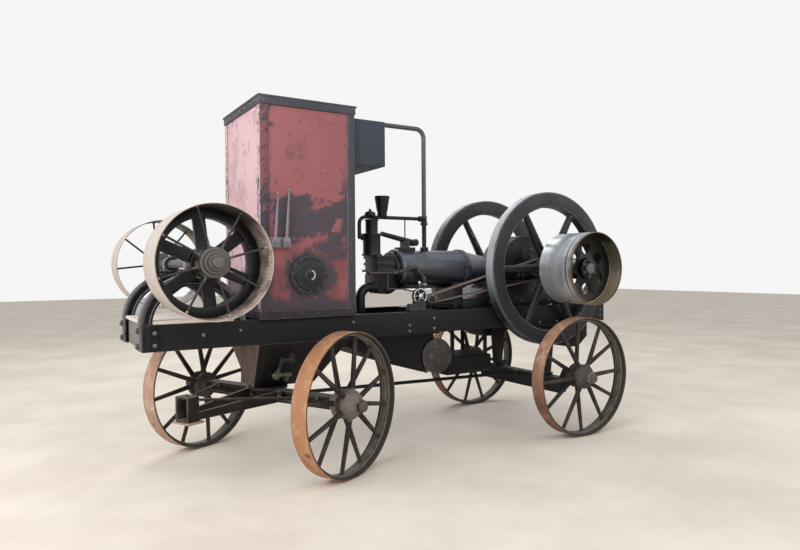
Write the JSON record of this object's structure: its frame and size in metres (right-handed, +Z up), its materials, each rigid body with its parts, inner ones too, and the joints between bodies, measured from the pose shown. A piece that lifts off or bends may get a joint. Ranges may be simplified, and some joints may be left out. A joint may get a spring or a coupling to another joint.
{
  "type": "portable oil engine",
  "caption": "Single-cylinder oil engine with two flywheels, belt pulleys and a tall cooling tower, carried on a four-wheeled steel wagon with a swivelling front axle and drawbar.",
  "frame": {"origin": "on the floor, under the middle of the overall box", "axes": "+X towards the drawbar end, +Y towards the belt pulley side, +Z up"},
  "size_m": [4.373, 2.0138, 2.742],
  "materials": {
    "painted_steel_black": "worn black paint over steel",
    "grey_channel": "worn grey paint",
    "boards": "bare weathered boards",
    "cast_black": "black painted castings",
    "tower_red": "faded red paint worn through to dark primer",
    "tower_trim": "dark blue-grey paint",
    "levers": "dull grey steel",
    "tank_green": "dark green paint",
    "pipe_grey": "silver-grey paint",
    "pipe_dark": "dark paint",
    "sump_black": "dull dark paint with brown dirt",
    "cock": "tarnished",
    "drum": "worn dark paint",
    "jacket": "glossy blue-black paint",
    "pump": "oily black casting with bare ring",
    "fuel_line": "tarnished",
    "belt": "brown belt leather",
    "axle_iron": "dark paint with brown dust",
    "tyre_steel": "rust-tan worn steel tread",
    "wheel_iron": "dark grey-green paint",
    "shaft_steel": "dull oily steel",
    "flywheel_iron": "dark painted casting with bright worn rim",
    "pulley_steel": "belt-polished steel with blue-black patches",
    "front_pulley_steel": "tan-stained belt face"
  },
  "bodies": {
    "root": {"rails": "painted_steel_black", "front_crossmember": "grey_channel", "crossmembers": "painted_steel_black", "floor_boards": "boards", "front_cheeks": "cast_black", "front_bearings": "cast_black", "cooling_tower": "tower_red", "tower_cap": "tower_trim", "tower_angles": "tower_trim", "round_cover": "cast_black", "control_levers": "levers", "header_tank": "tank_green", "hot_water_pipe": "pipe_grey", "branch_pipe": "pipe_dark", "sump_tank": "sump_black", "sump_cock": "cock", "king_plate": "painted_steel_black", "reach_rod": "painted_steel_black", "silencer_box": "sump_black", "exhaust_pipe": "pipe_dark", "fuel_drum": "drum", "engine_bed": "cast_black", "main_bearings": "cast_black", "cylinder_jacket": "jacket", "cylinder_head": "cast_black", "vaporiser": "cast_black", "air_cup": "cast_black", "rocker": "cast_black", "crank_guard": "cast_black", "fuel_pump": "pump", "fuel_pipe": "fuel_line", "pump_belt": "belt", "rear_pedestals": "painted_steel_black", "rear_axle": "painted_steel_black", "rear_tank": "sump_black", "under_box": "sump_black"},
    "fore_carriage": {"front_axle": "axle_iron", "drawbar": "axle_iron"},
    "front_left": {"front_left_tyre": "tyre_steel", "front_left_wheel": "wheel_iron"},
    "front_right": {"front_right_tyre": "tyre_steel", "front_right_wheel": "wheel_iron"},
    "rear_left": {"rear_left_tyre": "tyre_steel", "rear_left_wheel": "wheel_iron"},
    "rear_right": {"rear_right_tyre": "tyre_steel", "rear_right_wheel": "wheel_iron"},
    "crank": {"crankshaft": "shaft_steel", "flywheels": "flywheel_iron", "belt_pulley": "pulley_steel"},
    "front_shafting": {"front_shaft": "shaft_steel", "front_flywheel": "cast_black", "front_pulleys": "front_pulley_steel"}
  },
  "joints": [
    {"name": "steering", "type": "hinge", "parent": "root", "child": "fore_carriage", "pos_m": [1.1685, -0.02308, 0.52], "axis": [0, 0, 1], "range_deg": [-56, 4]},
    {"name": "front_left_roll", "type": "hinge", "parent": "fore_carriage", "child": "front_left", "pos_m": [0.82876, 0.67349, 0.52], "axis": [-0.4384, 0.8988, 0], "continuous": true},
    {"name": "front_right_roll", "type": "hinge", "parent": "fore_carriage", "child": "front_right", "pos_m": [1.50824, -0.71965, 0.52], "axis": [-0.4384, 0.8988, 0], "continuous": true},
    {"name": "rear_left_roll", "type": "hinge", "parent": "root", "child": "rear_left", "pos_m": [-1.4315, 0.76192, 0.52], "axis": [0, 1, 0], "continuous": true},
    {"name": "rear_right_roll", "type": "hinge", "parent": "root", "child": "rear_right", "pos_m": [-1.4315, -0.80808, 0.52], "axis": [0, 1, 0], "continuous": true},
    {"name": "crank_turn", "type": "hinge", "parent": "root", "child": "crank", "pos_m": [-1.3715, -0.02308, 1.473], "axis": [0, 1, 0], "continuous": true},
    {"name": "front_shaft_turn", "type": "hinge", "parent": "root", "child": "front_shafting", "pos_m": [1.8155, -0.02308, 1.533], "axis": [0, 1, 0], "continuous": true}
  ]
}
